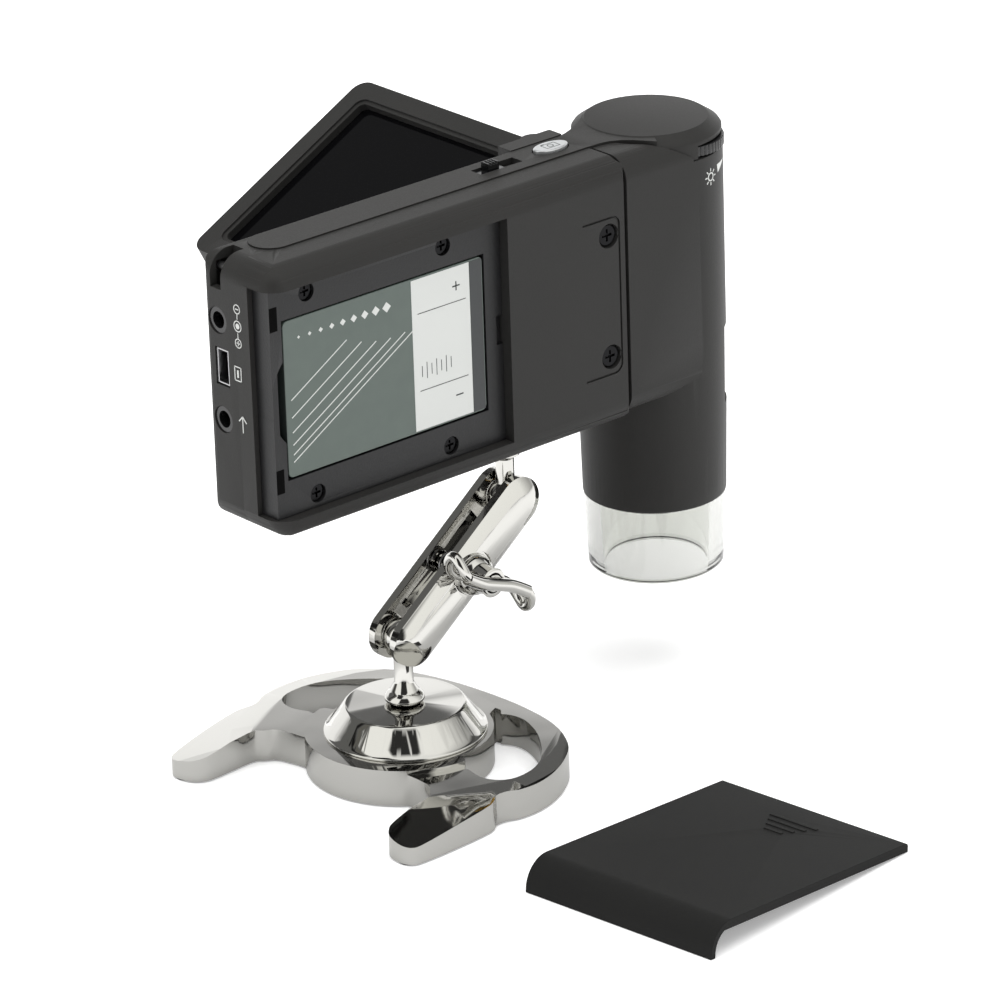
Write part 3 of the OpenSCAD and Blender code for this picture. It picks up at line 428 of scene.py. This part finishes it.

# two rules, a plus, a minus and a row of seven bars in print, and a dark band on the cell's left
# end that is painted shade
marks_and_shade_band = [((13, INK, 0.16), (right - 11.2, dark_y, upper - 8), 0),
         ((13, INK, 0.16), (right - 11.2, dark_y, lower + 9), 0),
         ((2.0, INK, 0.3), (right - 7.2, dark_y, upper - 4.6), 0),
         ((0.3, INK, 2.0), (right - 7.2, dark_y, upper - 4.6), 0),
         ((2.0, INK, 0.3), (right - 7.2, dark_y, lower + 5.4), 0)]
for i in range(7):
    tall = 2.4 + (i % 2) * 1.2
    marks_and_shade_band.append(((0.16, INK, tall), (right - 17 + i * 1.3, dark_y, lower + 13.2), 0))
# painted shade: a dark ink band on the cell's left end stands in for the shade that falls there
marks_and_shade_band.append(((INK, 5.4, upper - lower - 3), (left - 0.02, film_y + 2.8, middle), 0))
plates("battery_dark_marks_and_painted_shade", grey_ink_and_shade, "battery", marks_and_shade_band)

# The frame's thin wall closes the finger notch on the left. Two flat dead-black plates on the
# frame's face are painted shade for the slots that take the cover's hooks, since no light comes out
# of a slot.
bay_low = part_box("bay_frame")[0]
bay_x, bay_y = bay_low.x / MM, bay_low.y / MM
half_up = (shell_low.z + shell_high.z) / 2 / MM
plates("bay_notch_wall", bare, nodes["bay_frame"]["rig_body"],
       [((1.4, 6.6, 15.4), (bay_x + 0.75, bay_y + 3.35, half_up + 0.4), 0)])
shadow_black = finish("unlit_slot_black", "080808", Roughness=0.9, Specular_IOR_Level=0.05)
mottled(shadow_black, 900.0, rough=(0.8, 1.0))
plates("bay_hook_slot_shade_plates", shadow_black, nodes["bay_frame"]["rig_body"],
       [((2.0, 0.06, 5.2), (bay_x + 1.0, bay_y - 0.02, half_up + 18.9), 0),
        ((2.0, 0.06, 5.2), (bay_x + 1.0, bay_y - 0.02, half_up - 16.4), 0)])

# ---------------------------------------------------------------- sockets and board
# Socket bodies are glossy black nylon, the USB shell and card cage are tinned steel, and the
# board behind them carries green solder mask, paler over a net of copper. Only their mouths show
# in the left end.
nylon = finish("black_nylon_gloss", "121213", Roughness=0.22)
mottled(nylon, 500.0, rough=(0.16, 0.3))
for name in ("dc_jack", "av_jack", "snap_switch"):
    dressed(name, nylon, edge=0.15, steps=2)
for name in ("usb_socket", "card_slot", "power_switch"):
    dressed(name, zinc, edge=0.1, steps=2)

mask = finish("green_solder_mask", "1d5a38", Roughness=0.35)
tree = mask.node_tree
where = add(tree, "ShaderNodeTexCoord")
copper = add(tree, "ShaderNodeTexVoronoi", {"Vector": where.outputs["Object"], "Scale": 420.0},
             feature="DISTANCE_TO_EDGE")
trace = add(tree, "ShaderNodeMapRange", {"Value": copper.outputs["Distance"], "From Max": 0.06})
tint = add(tree, "ShaderNodeMix", {"Factor": trace.outputs["Result"], "A": srgb("2a6f47"),
                                   "B": srgb("184c30")}, data_type="RGBA")
tree.links.new(tint.outputs["Result"], tree.nodes["Principled BSDF"].inputs["Base Color"])
for name in ("main_board", "sensor_board"):
    dressed(name, mask)

# ---------------------------------------------------------------- top trim and controls
# A keyhole-shaped trim lies in the top and ends in the cap of the barrel, lacquered like the
# shells. The slider and wheel are gloss black. The oval button is lacquered silver, with a fine
# metal flake.
dressed("top_strip", soft, edge=0.22, steps=3)
for name in ("power_slider", "brightness_wheel"):
    dressed(name, nylon, edge=0.12, steps=2)
silver = finish("silver_lacquer", "c7c9ca", Metallic=0.75, Roughness=0.33)
# flake of 0.17 mm, coarser than the real one, so that it shows
mottled(silver, 6000.0, rough=(0.26, 0.42))
dressed("snap_button", silver, edge=0.4, steps=5)
for i in range(1, 6):
    dressed(f"menu_button_{i}", bare, edge=0.3, steps=3)

# ---------------------------------------------------------------- barrel and optics
# One lacquered moulding carries the neck and the tube. A knurled wheel shows in its window, and a
# clear acrylic tube is pushed into its foot, with the lamps and lens above it.
dressed("barrel_housing", soft, edge=0.3, steps=3)
dressed("focus_wheel", bare, edge=0.1, steps=2)
dressed("lens_carriage", bare, edge=0.2, steps=2)

# Moulded acrylic: clear, with the faint haze of handling.
acrylic = finish("clear_acrylic", "e7e8e4", Roughness=0.03, IOR=1.49, Transmission_Weight=1.0)
mottled(acrylic, 160.0, rough=(0.01, 0.06))
nose_low, nose_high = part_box("nosepiece")
nose_axis = (nose_low + nose_high) / 2
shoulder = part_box("barrel_housing")[0].z / MM
foot, top = nose_low.z / MM, nose_high.z / MM
wide = (nose_high.x - nose_low.x) / 2 / MM
# radius and height, from the inner edge of the foot round the outside and back down the bore
tube = [(wide - 4.1, foot + 0.3), (wide - 3.8, foot), (wide - 1.3, foot),
        (wide - 0.75, foot + 0.5), (wide, shoulder - 0.05), (wide - 0.85, shoulder - 0.05),
        (wide - 0.85, top), (wide - 2.1, top), (wide - 2.1, shoulder + 0.6),
        (wide - 3.4, shoulder - 1)]
bm = bmesh.new()
turned(bm, [(nose_axis.x + r * MM, nose_axis.y, z * MM) for r, z in tube],
       nose_axis, (0, 0, 1), steps=144)
bmesh.ops.recalc_face_normals(bm, faces=bm.faces)
for face in bm.faces:
    face.smooth = True
nose = shown("nosepiece_shown", bm, acrylic, corner=30)
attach(nose, nodes["nosepiece"]["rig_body"])
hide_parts("nosepiece")

# Polished glass with a thin bluish coating, a white board, and lamps cast in yellowish epoxy.
lens = finish("coated_lens_glass", "eef3ff", Roughness=0.0, IOR=1.52, Transmission_Weight=1.0,
              Coat_Weight=0.3)
dressed("objective_lenses", lens)
white_board = finish("white_solder_mask", "e4e4df", Roughness=0.45)
mottled(white_board, 900.0, rough=(0.38, 0.52))
dressed("led_ring", white_board, edge=0.1, steps=2)
epoxy = finish("led_epoxy", "fbf6d8", Roughness=0.12, IOR=1.5)
dressed("leds", epoxy)

# ---------------------------------------------------------------- screen
# The panel is two shells round a black framed display. The frame is bevelled down to a deep-set
# dark glass with a faint veil of dust. A steel pin and shaft carry the panel on its block.
for name, radius in (("lcd_back", 0.3), ("lcd_bezel", 0.3), ("hinge_bracket", 0.35)):
    dressed(name, soft, edge=radius, steps=3)
for name in ("hinge_pin", "tilt_shaft"):
    dressed(name, zinc, edge=0.1, steps=2)
pane = finish("dark_cover_glass", "040405", Roughness=0.06, Specular_IOR_Level=0.3)
mottled(pane, 90.0, detail=4.0, rough=(0.03, 0.12))
dressed("lcd_glass", pane, edge=0.1, steps=2)
dressed("lcd_display", nylon)

# ---------------------------------------------------------------- loose battery cover
# Grained like the shells but a duller, darker black, thin walled, with a hooked lip at one end
# and raised thumb bars.
worn_black = finish("matt_lacquer_on_loose_cover", "1d1d1d", Roughness=0.6,
                    Specular_IOR_Level=0.06, Sheen_Weight=0.03, Sheen_Roughness=0.5)
mottled(worn_black, 60.0, detail=3.0, tones=("1b1b1b", "1f1f1e"))
mottled(worn_black, GRAIN, relief=GRAIN_RELIEF)
dressed("battery_cover", worn_black, edge=0.3, steps=3)

# ---------------------------------------------------------------- printed symbols
# Small screen prints that say nothing but what a part does: a sun and a wedge by the light wheel,
# a polarity mark by the power socket, an arrow and a plug outline in white, and a framed ring in
# dark ink on the button.
PRINT_THICK, PRINT_PROUD = 0.08, 0.02


def printed(name, surface, body, shapes, place, cuts=0):
    """Draws rings, bars and wedges flat and lays them on a surface with place(u, v, out).

    A shape is its kind, its place, its two sizes and its turn in degrees. cuts divides the faces,
    so that a drawing can follow a curved surface.
    """
    bm = bmesh.new()
    for kind, u, v, a, b, turn in shapes:
        spot = Matrix.Translation((u, v, 0)) @ Matrix.Rotation(math.radians(turn), 4, "Z")
        if kind == "bar":
            sized = spot @ Matrix.Diagonal((a, b, 1, 1))
            bmesh.ops.create_grid(bm, x_segments=1, y_segments=1, size=0.5, matrix=sized)
        elif kind == "wedge":
            sized = spot @ Matrix.Diagonal((b, a, 1, 1))
            bmesh.ops.create_circle(bm, cap_ends=True, radius=1, segments=3, matrix=sized)
        else:
            made = bmesh.ops.create_circle(bm, cap_ends=True, radius=a, segments=28, matrix=spot)
            if b:
                disc = made["verts"][0].link_faces[0]
                bmesh.ops.inset_region(bm, faces=[disc], thickness=a - b, use_boundary=True,
                                       use_even_offset=True)
                bmesh.ops.delete(bm, geom=[disc], context="FACES_ONLY")
    if cuts:
        bmesh.ops.triangulate(bm, faces=bm.faces)
        bmesh.ops.subdivide_edges(bm, edges=bm.edges, cuts=cuts, use_grid_fill=True)
    bmesh.ops.solidify(bm, geom=bm.faces[:], thickness=PRINT_THICK)
    bmesh.ops.recalc_face_normals(bm, faces=bm.faces)
    for vert in bm.verts:
        vert.co = Vector(place(vert.co.x, vert.co.y, vert.co.z + PRINT_PROUD)) * MM
    piece = shown(name, bm, surface)
    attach(piece, body)


sun = [("ring", 0, 0, 1.0, 0.72, 0)]
for i in range(8):
    way = math.radians(i * 45)
    sun.append(("bar", 1.55 * math.cos(way), 1.55 * math.sin(way), 0.7, 0.26, i * 45))
sun.append(("wedge", 4.4, 1.2, 2.9, 1.1, -78))
barrel_r, sun_heading, sun_height = 16.22, math.radians(-76), 113.7


def round_barrel(u, v, out):
    """Wraps a flat drawing round the barrel."""
    way = sun_heading + u / barrel_r
    x = nose_axis.x / MM + (barrel_r + out) * math.cos(way)
    y = nose_axis.y / MM + (barrel_r + out) * math.sin(way)
    return x, y, sun_height + v


printed("light_symbols", white_ink, nodes["rear_casing"]["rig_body"], sun,
        round_barrel, cuts=4)

end_x = shell_low.x / MM
polarity = [("ring", 0, 3.7, 1.05, 0.85, 0), ("bar", 0, 3.7, 1.1, 0.22, 0),
            ("bar", 0, 2.1, 0.2, 1.2, 0), ("ring", 0, 0, 1.25, 1.03, 0), ("ring", 0, 0, 0.6, 0, 0),
            ("bar", 0, -2.1, 0.2, 1.2, 0), ("ring", 0, -3.7, 1.05, 0.85, 0),
            ("bar", 0, -3.7, 1.1, 0.22, 0), ("bar", 0, -3.7, 0.22, 1.1, 0)]
plug = [("bar", -1.0, 0, 0.22, 3.2, 0), ("bar", 1.0, 0, 0.22, 3.2, 0),
        ("bar", 0, 1.5, 2.2, 0.22, 0), ("bar", 0, -1.5, 2.2, 0.22, 0), ("bar", 0, 0, 0.5, 1.6, 0)]
arrow = [("bar", 0, 0, 0.24, 3.4, 0), ("bar", -0.6, 1.25, 1.7, 0.24, 45),
         ("bar", 0.6, 1.25, 1.7, 0.24, -45)]
for name, shapes, y, z in (("polarity_symbol", polarity, 0.1, 110.4),
                           ("plug_symbol", plug, 0.7, 99.9), ("signal_arrow", arrow, -0.1, 88.9)):
    printed(name, white_ink, nodes["front_casing"]["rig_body"], shapes,
            lambda u, v, out, y=y, z=z: (end_x - out, y - u, z + v))

button_low, button_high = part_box("snap_button")
button = (button_low + button_high) / 2 / MM
button_top = button_high.z / MM
framed_ring = [("ring", 0, 0, 0.75, 0.55, 0), ("bar", 0, 1.1, 3.6, 0.18, 0),
               ("bar", 0, -1.1, 3.6, 0.18, 0), ("bar", -1.75, 0, 0.18, 2.2, 0),
               ("bar", 1.75, 0, 0.18, 2.2, 0), ("bar", -1.1, 1.3, 0.8, 0.3, 0)]
printed("button_symbol", grey_ink_and_shade, nodes["snap_button"]["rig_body"], framed_ring,
        lambda u, v, out: (button.x + u, button.y + v, button_top + out))

# ---------------------------------------------------------------- floor, light and camera
# A white sweep under one broad soft light. Around it stands a studio of white panels and dark
# gaps that only glossy surfaces see. It is laid out from this camera's heading, and gives the
# chrome its bands.
yaw, pitch, roll = (math.radians(a) for a in (40.25, -22.84, -1.93))
floor_white = finish("white_lit_sweep", "ececec", Roughness=0.9, Specular_IOR_Level=0.1,
                     Emission_Color=(1, 1, 1, 1), Emission_Strength=0.3)
# its own light reaches the camera and matt surfaces; mirrors see plain paper with painted shade,
# greyer close to the stand, and clear plastic sees an even grey
tree = floor_white.node_tree
where = add(tree, "ShaderNodeTexCoord")
away = add(tree, "ShaderNodeVectorMath", {0: where.outputs["Object"]}, operation="LENGTH")
# painted shade: the paper that mirrors see is darker close to the stand
shade_near_stand = add(tree, "ShaderNodeMapRange", {"Value": away.outputs["Value"], "From Min": 0.07,
                                         "From Max": 0.12, "To Min": 0.66, "To Max": 1.0})
path = add(tree, "ShaderNodeLightPath").outputs
paper = add(tree, "ShaderNodeMix", {"Factor": path["Is Transmission Ray"],
                                    "A": shade_near_stand.outputs["Result"], "B": srgb("d6d6d6")},
            data_type="RGBA")
unlit = add(tree, "ShaderNodeBsdfDiffuse", {"Color": paper.outputs["Result"]})
indirect = add(tree, "ShaderNodeMath", {0: path["Is Glossy Ray"], 1: path["Is Transmission Ray"]},
               operation="MAXIMUM")
lit = tree.nodes["Principled BSDF"]
swap = add(tree, "ShaderNodeMixShader", {0: indirect.outputs["Value"], 1: lit.outputs["BSDF"],
                                         2: unlit.outputs["BSDF"]})
tree.links.new(swap.outputs["Shader"], tree.nodes["Material Output"].inputs["Surface"])
bm = bmesh.new()
bmesh.ops.create_grid(bm, x_segments=1, y_segments=1, size=6)
floor = shown("floor", bm, floor_white)

world = bpy.data.worlds.new("banded_studio")
bpy.context.scene.world = world
world.use_nodes = True
tree = world.node_tree
around = add(tree, "ShaderNodeTexCoord").outputs["Generated"]
heading = add(tree, "ShaderNodeMapping", {"Vector": around, "Rotation": (0, 0, yaw)},
              vector_type="VECTOR")
round_about = add(tree, "ShaderNodeTexGradient", {"Vector": heading.outputs["Vector"]},
                  gradient_type="RADIAL")
axes = add(tree, "ShaderNodeSeparateXYZ", {"Vector": heading.outputs["Vector"]})
# panels on the camera's side, by heading: 0.25 is straight behind the camera, 0.5 its right hand
bands = ((0.015, 0.12), (0.03, 1.0), (0.155, 1.0), (0.17, 0.03), (0.315, 0.03), (0.34, 1.0),
         (0.45, 0.95), (0.56, 0.4), (0.58, 0.05), (0.7, 0.08), (0.9, 0.12), (0.965, 0.12),
         (0.972, 0.01), (0.982, 0.01), (0.99, 0.12))
panels = add(tree, "ShaderNodeValToRGB", {"Fac": round_about.outputs["Fac"]})
stops = panels.color_ramp.elements
for stop, turn in zip(stops, (0.0, 1.0)):
    stop.position, stop.color = turn, (0.12, 0.115, 0.1, 1)
for turn, tone in bands:
    stop = stops.new(turn)
    stop.color = (tone, tone, tone * 0.97, 1)
# the far side is white paper up to the height of the lens and dim above it, and straight
# overhead is a pale panel
paper = add(tree, "ShaderNodeMapRange", {"Value": axes.outputs["Z"], "From Min": 0.4,
                                         "From Max": 0.43, "To Min": 1.0, "To Max": 0.12})
far_side = add(tree, "ShaderNodeMapRange", {"Value": axes.outputs["Y"], "From Min": 0.35,
                                            "From Max": 0.6})
walls = add(tree, "ShaderNodeMix", {"Factor": far_side.outputs["Result"],
                                    "A": panels.outputs["Color"], "B": paper.outputs["Result"]},
            data_type="RGBA")
overhead = add(tree, "ShaderNodeMapRange", {"Value": axes.outputs["Z"], "From Min": 0.86,
                                            "From Max": 0.93})
studio = add(tree, "ShaderNodeMix", {"Factor": overhead.outputs["Result"],
                                     "A": walls.outputs["Result"], "B": (0.9, 0.9, 0.88, 1)},
             data_type="RGBA")
# plain light for matt surfaces, dimmer from the left end of the object, and an even backdrop
plain_axes = add(tree, "ShaderNodeSeparateXYZ", {"Vector": around})
fill = add(tree, "ShaderNodeMapRange", {"Value": plain_axes.outputs["X"], "From Min": -0.9,
                                        "From Max": 0.1, "To Min": 0.2, "To Max": 0.58})
path = add(tree, "ShaderNodeLightPath").outputs
mirror = add(tree, "ShaderNodeMath", {0: path["Is Glossy Ray"], 1: path["Is Transmission Ray"]},
             operation="SUBTRACT", use_clamp=True)
room = add(tree, "ShaderNodeMix", {"Factor": mirror.outputs["Value"], "A": fill.outputs["Result"],
                                   "B": studio.outputs["Result"]}, data_type="RGBA")
backdrop = add(tree, "ShaderNodeMix", {"Factor": path["Is Camera Ray"],
                                       "A": room.outputs["Result"], "B": (0.67, 0.67, 0.67, 1)},
               data_type="RGBA")
background = tree.nodes["Background"]
tree.links.new(backdrop.outputs["Result"], background.inputs["Color"])
background.inputs["Strength"].default_value = 1.5

lamp = bpy.data.lights.new("top_softbox", "AREA")
lamp.size = 2.4
lamp.energy = 46.0
lamp_at, lamp_aim = Vector((-0.1, 0.1, 1.6)), Vector((0.02, 0, 0.07))
holder = bpy.data.objects.new("top_softbox", lamp)
bpy.context.scene.collection.objects.link(holder)
holder.location = lamp_at
holder.rotation_mode = "QUATERNION"
holder.rotation_quaternion = (lamp_aim - lamp_at).to_track_quat("-Z", "Y")
holder.visible_glossy = False

# the camera looks along ahead, with across and up as the directions of its frame
ahead = Vector((math.sin(yaw) * math.cos(pitch), math.cos(yaw) * math.cos(pitch), math.sin(pitch)))
level = Vector((math.cos(yaw), -math.sin(yaw), 0))
upright = level.cross(ahead)
across = math.cos(roll) * level + math.sin(roll) * upright
up = -math.sin(roll) * level + math.cos(roll) * upright
lens_data = bpy.data.cameras.new("camera")
lens_data.sensor_width = 36
lens_data.lens = 235.3
lens_data.clip_start, lens_data.clip_end = 0.05, 20
camera = bpy.data.objects.new("camera", lens_data)
bpy.context.scene.collection.objects.link(camera)
turned_to = Matrix((across, up, -ahead)).transposed().to_4x4()
camera.matrix_world = Matrix.Translation(Vector((-0.7944, -0.9718, 0.5883))) @ turned_to
bpy.context.scene.camera = camera
bpy.context.scene.view_settings.view_transform = "Standard"
